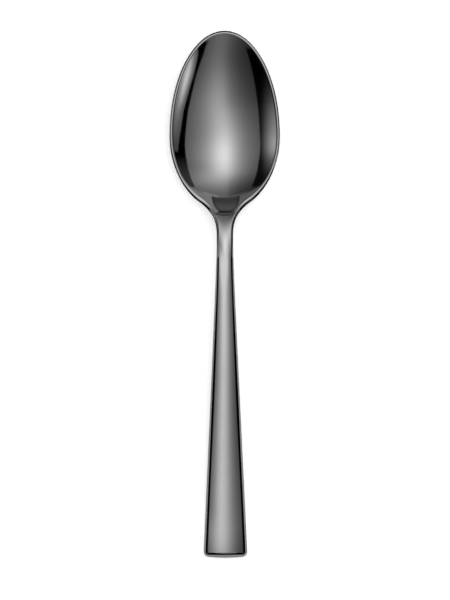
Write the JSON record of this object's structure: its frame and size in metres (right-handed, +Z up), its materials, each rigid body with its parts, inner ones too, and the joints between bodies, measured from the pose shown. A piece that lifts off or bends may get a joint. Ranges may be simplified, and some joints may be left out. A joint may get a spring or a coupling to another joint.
{
  "type": "tablespoon",
  "caption": "One-piece tablespoon with an egg-shaped bowl, a slim neck and a domed, gently arched handle that widens to its end, in a black mirror finish.",
  "frame": {"origin": "middle of the rectangle that the spoon covers, on the table that it rests on", "axes": "+Y along the spoon to the tip of the bowl, +X across it, +Z up from the table, out of the hollow of the bowl"},
  "size_m": [0.043, 0.206, 0.0145],
  "materials": {
    "black_mirror_steel": "dark mirror coating on polished stainless steel"
  },
  "bodies": {
    "root": {"spoon": "black_mirror_steel"}
  },
  "joints": []
}
